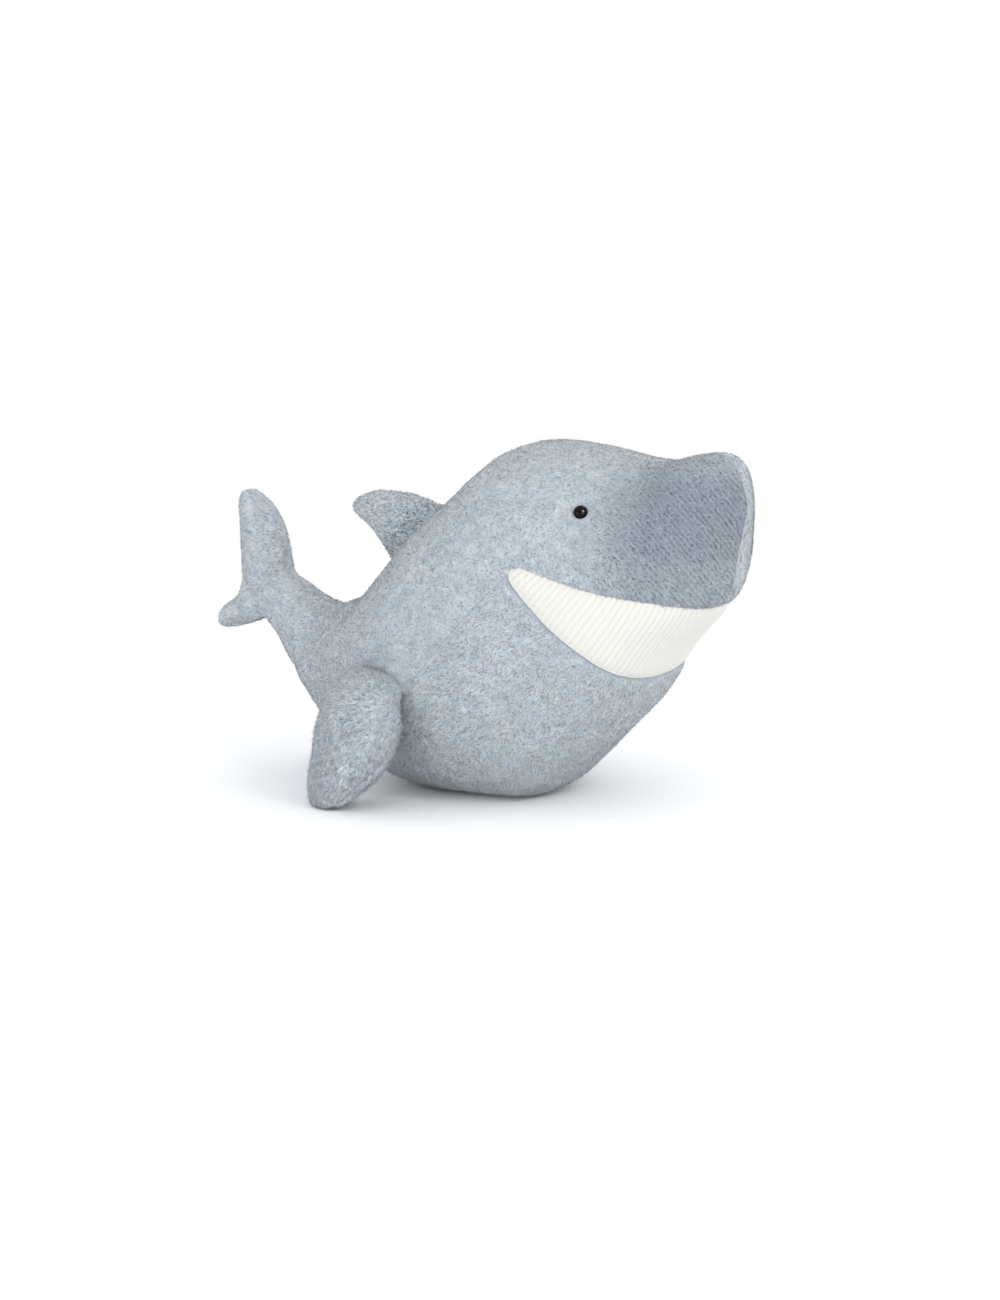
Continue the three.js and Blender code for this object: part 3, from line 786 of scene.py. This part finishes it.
def heather_and_snout_shade(root):
    """Shares of deep, dark, mid and light tufts: the heather's mixed yarn shades, with painted shade round the snout
    that is darkest in diagonal rows, standing for the pile bent open along its knitted rows.
    """
    x, y, z = root.T
    cloud = rolling_fast(root, 9, 11) * 0.04 + rolling_fast(root, 4, 12) * 0.05
    across = (0.60 * x - 0.48 * np.abs(y) + 0.65 * z) / ROW_PITCH
    rows = np.sin(across * 2 * np.pi + rolling_fast(root, 30, 13) * 0.5)
    snout = shade_round_the_snout(root)
    deep_shade = np.clip(0.03 + cloud * 0.3 + snout * (0.45 + 0.52 * rows), 0, 0.92)
    dark = np.clip(0.28 + cloud + snout * (0.16 + 0.1 * rows), 0, 0.96 - deep_shade)
    light = np.clip((0.25 - cloud) * (1 - 0.6 * snout), 0, 0.98 - deep_shade - dark)
    return np.stack([deep_shade, dark, 1 - deep_shade - dark - light, light], 1)


bend_tail = dict(a="body", b="tail", start=TAIL_HINGE - STEM * 17 * MM, end=TAIL_HINGE + STEM * 15 * MM)
bend_fluke = dict(a="tail", b="fluke", start=FLUKE_HINGE - STEM * 9 * MM, end=FLUKE_HINGE + STEM * 7 * MM)


def go_with(obj, bend):
    if isinstance(bend, str):
        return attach(obj, bend)
    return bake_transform(obj)


right_end = ["tail_panel_right", "fluke_panel_right", "tail_stuffing"]
left_end = ["tail_panel_left", "fluke_panel_left", "fluke_stuffing"]
plan = [
    ("side_right_cloth", ["side_panel_right"], "grey_pile", bend_tail, 21),
    ("side_left_cloth", ["side_panel_left"], "grey_pile", bend_tail, 22),
    ("belly_cloth", ["belly_panel", "body_stuffing"], "grey_pile_belly", "body", 23),
    ("tail_right_cloth", right_end, "grey_pile_fins", bend_fluke, 24),
    ("tail_left_cloth", left_end, "grey_pile_fins", bend_fluke, 25),
]
for name, replaced, slot, bend, seed in plan:
    panel = panels[name]
    tufts = lay_pile(
        panel, name.replace("cloth", "pile"), torso_pile, slot,
        per_mm2=2.15, length=2.3, width=0.5, lift=17, seed=seed, seams=seams, mix=heather_and_snout_shade,
        nap=down_the_belly if name.startswith("belly") else down_the_side,
        short=clear_of_eyes if name.startswith("side") else None,
    )
    thicken(panel)
    # painted shade on the backing: round the snout on the side panels, and a dark line along the lower lip on the
    # belly
    parted_shade = panel.data.attributes.new("parted_shade", "FLOAT", "POINT")
    if name.startswith("side"):
        parted_shade.data.foreach_set("value", shade_round_the_snout(coords(panel)).astype(np.float32))
    else:
        to_lip = np.array([lips.find(p)[2] for p in coords(panel)])
        parted_shade.data.foreach_set("value", np.exp(-((to_lip / (1.5 * MM)) ** 2)).astype(np.float32))
    dress(panel, torso_cloth, slot)
    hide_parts(*replaced)
    for o in [panel, *tufts]:
        go_with(o, bend)

# ------------------------------------------------------------------ the corduroy mouth
mouth = panels["mouth_corduroy"]
finish_with(mouth, "SUBSURF", levels=2, render_levels=2)
co, no = coords(mouth), normals(mouth)
flat = np.stack([co @ np.array(RIB_ACROSS), co[:, 1]], 1)
middle = np.array([np.percentile(flat[:, 0], 50) - 40 * MM, 0])
angle = np.arctan2(*(flat - middle).T[::-1])
radius = np.linalg.norm(flat - middle, axis=1)
STEPS = 60  # of turn, along the middle line of the mouth that the ribs are counted on
steps = np.linspace(angle.min(), angle.max(), STEPS + 1)
bins = np.clip(np.digitize(angle, steps) - 1, 0, STEPS - 1)
mean = np.array([radius[bins == k].mean() for k in range(STEPS)])
mean = np.convolve(np.pad(mean, 3, "edge"), np.ones(7) / 7, "valid")
turn = (steps[:-1] + steps[1:]) / 2
curve = middle + np.stack([np.cos(turn), np.sin(turn)], 1) * mean[:, None]
run = np.concatenate([[0], np.cumsum(np.linalg.norm(np.diff(curve, axis=0), axis=1))])
run -= np.interp(0, turn, run)
best, at = np.full(len(co), 1e9), np.zeros(len(co))
for k in range(STEPS - 1):
    d = curve[k + 1] - curve[k]
    t = ((flat - curve[k]) @ d) / (d @ d)
    t = np.clip(t, -9 if k == 0 else 0, 9 if k == STEPS - 2 else 1)
    gap = np.linalg.norm(flat - curve[k] - t[:, None] * d, axis=1)
    near = gap < best
    best[near], at[near] = gap[near], (run[k] + t * (run[k + 1] - run[k]))[near]
phase = at / RIB_PITCH + rolling_fast(co, 40, 31) * 0.05
crest = np.abs(np.cos(np.pi * phase)) ** 0.7
to_lip = np.array([lips.find(p)[2] for p in co])
rise = (crest - 0.5) * 0.5 * MM * spread(to_lip, 0.2 * MM, 1.6 * MM)
swell = 0.7 * MM * spread(to_lip, 1 * MM, 14 * MM)
place(mouth, co + no * (rise + swell)[:, None])
height = mouth.data.attributes.new("rib_height", "FLOAT", "POINT")
height.data.foreach_set("value", crest.astype(np.float32))
thicken(mouth, 1.4)
finish_with(mouth, "DECIMATE", ratio=0.5)
dress(mouth, white_corduroy, "white_corduroy")
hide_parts("mouth_panel")
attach(mouth, "body")

# ------------------------------------------------------------------ the eyes
for side, e in zip(("right", "left"), eye_spots):
    shark = BVHTree.FromObject(panels[f"side_{side}_cloth"], bpy.context.evaluated_depsgraph_get())
    skin_at, out, _, _ = shark.find_nearest(Vector(e))
    deselect()
    bpy.ops.mesh.primitive_uv_sphere_add(segments=48, ring_count=32, radius=EYE_RADIUS, location=(0, 0, 0))
    bead = bpy.context.object
    bpy.ops.object.mode_set(mode="EDIT")
    bm = bmesh.from_edit_mesh(bead.data)
    for v in bm.verts:
        v.select_set(v.co.z < -0.4 * MM)
    bm.select_flush_mode()
    bmesh.update_edit_mesh(bead.data)
    bpy.ops.transform.resize(value=(1.0, 1.0, 0.35), center_override=(0, 0, 0))
    bpy.ops.mesh.select_all(action="SELECT")
    bpy.ops.transform.resize(value=(1.0, 1.0, 0.86), center_override=(0, 0, 0))
    bpy.ops.object.mode_set(mode="OBJECT")
    bead.rotation_mode = "QUATERNION"
    bead.rotation_quaternion = Vector(out).to_track_quat("Z", "Y")
    bead.location = skin_at + out * 0.9 * MM
    bead.name = bead.data.name = f"eye_bead_{side}"
    settle(bead)
    bpy.ops.object.shade_smooth()
    dress(bead, black_acrylic, "eye_plastic")
    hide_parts(f"eye_{side}")
    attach(bead, "body")


# ------------------------------------------------------------------ fins
def in_view(co, view):
    origin, first, second = (np.array(v) for v in view)
    return (co - origin) @ first, (co - origin) @ second


def fin(names, plugs, voxel, passes, room, seam, view, labels, root, pressure, cap, trim, seam_depth=1.5):
    """A stuffed fin of two faces: its form, its filling, and the seam round its edge."""
    f = copies_of(names, plugs)
    round_form(f, voxel, passes, room)
    place(f, trim(coords(f)))
    c = coords(f)
    held = 1 - spread(np.abs(side_of(seam, *in_view(c, view))), 1.5 * MM, 6 * MM)
    held = np.maximum(held, 1 - spread((c - np.array(root[0])) @ np.array(root[1]), 0, 10 * MM))
    stuff(f, held * 0.9, pressure, cap)
    finish_with(f, "SUBSURF", levels=1, render_levels=1)
    c, n = coords(f), normals(f)
    c = c + n * (rolling(c, 16, 7) * 0.45 * MM)[:, None]
    c[:, 2] = np.maximum(c[:, 2], 0.6 * MM)
    place(f, c)
    seam_cuts(f, seam, view, 3 * MM)
    c = coords(f)
    rim = np.flatnonzero(np.abs(side_of(seam, *in_view(c, view))) < 0.03 * MM)
    side = side_of(seam, *in_view(face_middles(f), view)) > 0
    draw_in(f, tree_of([Vector(c[i]) for i in rim]), seam_depth, 1.8)
    c = coords(f)
    return part(f, side.astype(int), labels), tree_of([Vector(c[i]) for i in rim])


FLIPPER_WIDE = FLIPPER_TURN @ Vector((1, 0, 0))
PLUG_TURN = (0, math.radians(-8), 0)
# seen along its width, the rim seam comes out from the root at the inner side and runs down to the tip
FLIPPER_SEAM = [(25, 6), (24, 18), (17, 33), (12.5, 41), (6, 51), (3, 61), (0, 70), (-2.5, 80), (-3.5, 92)]
FLIPPER_VIEW = (FLIPPER_ROOT, FLIPPER_FACE, FLIPPER_DOWN)


def trim_flipper(co):
    """A little fuller along the front edge, a little leaner along the back one."""
    off = co - np.array(FLIPPER_ROOT)
    wide, down = off @ np.array(FLIPPER_WIDE), off @ np.array(FLIPPER_DOWN)
    fuller = 2.6 * spread(wide, 2 * MM, 24 * MM) * np.exp(-(((down - 32 * MM) / (26 * MM)) ** 2))
    leaner = 2.7 * spread(-wide, 5 * MM, 24 * MM) * np.exp(-(((down - 24 * MM) / (28 * MM)) ** 2))
    tip = 2.2 * spread(down, 58 * MM, 82 * MM) * spread(-wide, -6 * MM, 8 * MM)
    co = co + ((fuller + leaner - tip) * MM)[:, None] * np.array(FLIPPER_WIDE)
    face = off @ np.array(FLIPPER_FACE)
    proud = 2.2 * spread(-face, -6 * MM, 8 * MM) * (1 - spread(down, 18 * MM, 48 * MM))
    over = 2.4 * np.exp(-(((down - 30 * MM) / (34 * MM)) ** 2))
    narrow = 5.5 * spread(face, -3 * MM, 11 * MM) * spread(down, 50 * MM, 76 * MM)
    co = co + ((over - proud - narrow) * MM)[:, None] * np.array(FLIPPER_FACE)
    co[:, 2] += 3.0 * MM * spread(face, 0 * MM, 9 * MM) * spread(down, 66 * MM, 80 * MM)
    return co


flipper, rim = fin(
    ["right_flipper_outer_panel", "right_flipper_inner_panel", "right_flipper_stuffing"],
    [
        (FLIPPER_ROOT + FLIPPER_DOWN * 4 * MM, (19 * MM, 14 * MM, 9.5 * MM), tuple(FLIPPER_TURN.to_euler())),
        (FLIPPER_ROOT + FLIPPER_DOWN * 9 * MM + Vector((1.5, 3, 0)) * MM, (20 * MM, 13 * MM, 13 * MM), PLUG_TURN),
        (FLIPPER_ROOT + FLIPPER_DOWN * 26 * MM + Vector((2, 5, 0)) * MM, (22 * MM, 13 * MM, 20 * MM), PLUG_TURN),
    ],
    voxel=2.4, passes=6, room=0.9, seam=FLIPPER_SEAM, view=FLIPPER_VIEW,
    labels=["right_flipper_outer_cloth", "right_flipper_inner_cloth"],
    root=(FLIPPER_ROOT, FLIPPER_DOWN), pressure=3.0, cap=0.8, trim=trim_flipper,
)
flipper_tip = np.array(FLIPPER_ROOT + FLIPPER_DOWN * 78 * MM)


def down_flipper(root):
    d = flipper_tip - root
    d /= np.linalg.norm(d, axis=1, keepdims=True)
    level = spread(root[:, 2], 30 * MM, 75 * MM)[:, None] * np.array([[-0.9, -0.2, 0.5]])
    w = rolling_fast(root, 13, 41)[:, None] * np.array([[0.4, 0.2, 0.0]])
    w2 = rolling_fast(root, 6, 42)[:, None] * np.array([[0.35, 0.0, 0.3]])
    return d + level + w + w2


def brushed(root):
    """Longer fleece in streaks of lighter and darker yarn, with a few deep tufts as painted shade in its gaps."""
    streak = rolling_fast(root, 4, 43) * 0.05 + rolling_fast(root, 11, 44) * 0.03
    dark = np.clip(0.28 + streak, 0.05, 0.7)
    light = np.clip(0.22 - streak, 0.05, 0.7)
    deep_shade = np.clip(0.09 + streak * 0.5, 0.01, 0.25)
    return np.stack([deep_shade, dark, 1 - deep_shade - dark - light, light], 1)


bend_right = dict(
    a="body", b="right_flipper",
    start=FLIPPER_ROOT - FLIPPER_DOWN * 4 * MM, end=FLIPPER_ROOT + FLIPPER_DOWN * 22 * MM,
)
flip_y = Matrix.Diagonal((1, -1, 1))
bend_left = dict(a="body", b="left_flipper", start=flip_y @ bend_right["start"], end=flip_y @ bend_right["end"])
for face in ("outer", "inner"):
    panel = flipper[f"right_flipper_{face}_cloth"]
    tufts = lay_pile(
        panel, f"right_flipper_{face}_pile", fin_pile, "grey_pile_fins", per_mm2=2.7, length=3.0, width=0.48, lift=16,
        nap=down_flipper, seed=31 if face == "outer" else 32, seams=rim, mix=brushed, wander=0.4,
    )
    thicken(panel, 1.4)
    dress(panel, fin_cloth, "grey_pile_fins")
    left = mirrored(panel, f"left_flipper_{face}_cloth")
    left_tufts = [mirrored(t, t.name.replace("right", "left")) for t in tufts]
    for cloth, side in ((panel, "right"), (left, "left")):
        filling = [f"{side}_flipper_stuffing"] if face == "outer" else []
        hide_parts(f"{side}_flipper_{face}_panel", *filling)
    for o in [panel, *tufts]:
        go_with(o, bend_right)
    for o in [left, *left_tufts]:
        go_with(o, bend_left)


def trim_dorsal(co):
    """Let out along its lower edge."""
    co = co + np.array([-0.3, 0, -0.3]) * MM * spot(co, -78, 136, 20)[:, None]
    return co + np.array([-1.0, 0, -0.5]) * MM * spot(co, -91, 150, 10)[:, None]


MIDDLE_SEAM = [(-150, 0), (0, 0)]
TOP_VIEW = (Vector((0, 0, 0)), Vector((1, 0, 0)), Vector((0, 1, 0)))
dorsal, rim = fin(
    ["dorsal_fin_panel_left", "dorsal_fin_panel_right", "dorsal_fin_stuffing"],
    [(DORSAL_ROOT - DORSAL_UP * 1 * MM, (9 * MM, 9.5 * MM, 24 * MM), (0, math.radians(43), 0))],
    voxel=2.2, passes=5, room=0.1, seam=MIDDLE_SEAM, view=TOP_VIEW,
    labels=["dorsal_fin_right_cloth", "dorsal_fin_left_cloth"],
    root=(DORSAL_ROOT, DORSAL_UP), pressure=3.0, cap=0.8, trim=trim_dorsal, seam_depth=0.9,
)
dorsal_tip = np.array((-90, 0, 153)) * MM


def shaded_root(root):
    """Painted shade where the fin meets the back: towards the root its tufts are coloured deep and dark."""
    share = brushed(root)
    near = 1 - spread((root - np.array(DORSAL_ROOT)) @ np.array(DORSAL_UP), 6 * MM, 20 * MM)
    near = near[:, None] * 0.9
    return share * (1 - near) + near * np.array([[0.75, 0.25, 0, 0]])


def up_dorsal(root):
    d = dorsal_tip - root
    d /= np.linalg.norm(d, axis=1, keepdims=True)
    return d + rolling_fast(root, 12, 51)[:, None] * np.array([[0.3, 0.1, 0.3]])


bend_dorsal = dict(
    a="body", b="dorsal_fin", start=DORSAL_ROOT - DORSAL_UP * 3 * MM, end=DORSAL_ROOT + DORSAL_UP * 14 * MM
)
for side in ("left", "right"):
    panel = dorsal[f"dorsal_fin_{side}_cloth"]
    tufts = lay_pile(
        panel, f"dorsal_fin_{side}_pile", torso_pile, "grey_pile_fins", per_mm2=2.4, length=2.4, width=0.5, lift=18,
        nap=up_dorsal, seed=61 if side == "left" else 62, seams=rim, mix=shaded_root,
    )
    thicken(panel, 1.4)
    dress(panel, fin_cloth, "grey_pile_fins")
    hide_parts(f"dorsal_fin_panel_{side}", *(["dorsal_fin_stuffing"] if side == "left" else []))
    for o in [panel, *tufts]:
        go_with(o, bend_dorsal)

# ------------------------------------------------------------------ what is inside
inside = {
    "bean_pouch": plain_inside("calico_bag_plain_weave", "#e6e3d9", "#cfcbbf", 0.6, 0.9, 0.2),
    "bean_pellets": plain_inside("polyethylene_pellets_loose", "#e6e6e0", "#bfc0bb", 2.5, 0.5, 1.2),
    "eye_washer_right": plain_inside("polyethylene_washer_moulded", "#eeeeec", "#e0e0dd", 1.5, 0.45, 0.05),
    "eye_washer_left": None,
}
inside["eye_washer_left"] = inside["eye_washer_right"]
for n, material in inside.items():
    nodes[n].data.materials.clear()
    nodes[n].data.materials.append(material)

# ------------------------------------------------------------------ floor, light and camera
deselect()
bpy.ops.mesh.primitive_plane_add(size=120, location=(0, 0, -0.0003))
floor = bpy.context.object
floor.name = "floor"
m, tree, shader, where = start("white_paper_sweep_matt")
grain = node(tree, "ShaderNodeTexNoise", {"Vector": where}, Scale=400.0, Detail=2.0)
tone = ramp(tree, grain.outputs["Fac"], [(0.3, "#f8f9fa"), (0.7, "#fafbfc")])
tree.links.new(tone.outputs["Color"], shader.inputs["Base Color"])
shader.inputs["Roughness"].default_value = 0.9
shader.inputs["Specular IOR Level"].default_value = 0.1
floor.data.materials.append(m)

world = bpy.data.worlds.new("studio")
scene.world = world
world.use_nodes = True
world.node_tree.nodes["Background"].inputs["Color"].default_value = (0.99, 0.995, 1.0, 1)
world.node_tree.nodes["Background"].inputs["Strength"].default_value = 1.07


def softbox(name, at, size, power):
    data = bpy.data.lights.new(name, "AREA")
    data.shape = "DISK"
    data.size = size
    data.energy = power
    lamp = bpy.data.objects.new(name, data)
    scene.collection.objects.link(lamp)
    lamp.location = at
    lamp.rotation_euler = (Vector((0, 0, 0.1)) - Vector(at)).to_track_quat("-Z", "Y").to_euler()
    return lamp


softbox("low_fill_left", (-0.6, -2.0, 0.12), 0.9, 12)
softbox("low_fill_right", (1.7, -1.3, 0.1), 0.9, 16)
softbox("rim_right", (1.2, 1.4, 0.7), 0.9, 5)
softbox("catch_light", (1.32, -0.56, 1.18), 0.35, 4)
# this one reaches only glossy surfaces, so it lights the bead's highlight and not the cloth
eye_light = softbox("eye_light", (1.32, -0.56, 1.1), 1.0, 60)
eye_light.visible_diffuse = False

azimuth, elevation, distance = math.radians(30), math.radians(10), 2.6
right = Vector((math.cos(azimuth), math.sin(azimuth), 0))
up = Vector((-math.sin(azimuth) * math.sin(elevation), math.cos(azimuth) * math.sin(elevation), math.cos(elevation)))
back = right.cross(up)
target = Vector((0, 0, 0.095)) + right * 0.00167 - up * 0.0174
camera = bpy.data.objects.new("camera", bpy.data.cameras.new("camera"))
scene.collection.objects.link(camera)
camera.data.lens = 129.6
camera.data.sensor_width = 36
camera.location = target + back * distance
camera.rotation_euler = Matrix((right, up, back)).transposed().to_euler()
camera.data.clip_end = 50
scene.camera = camera
scene.view_settings.view_transform = "Standard"
scene.view_settings.look = "None"
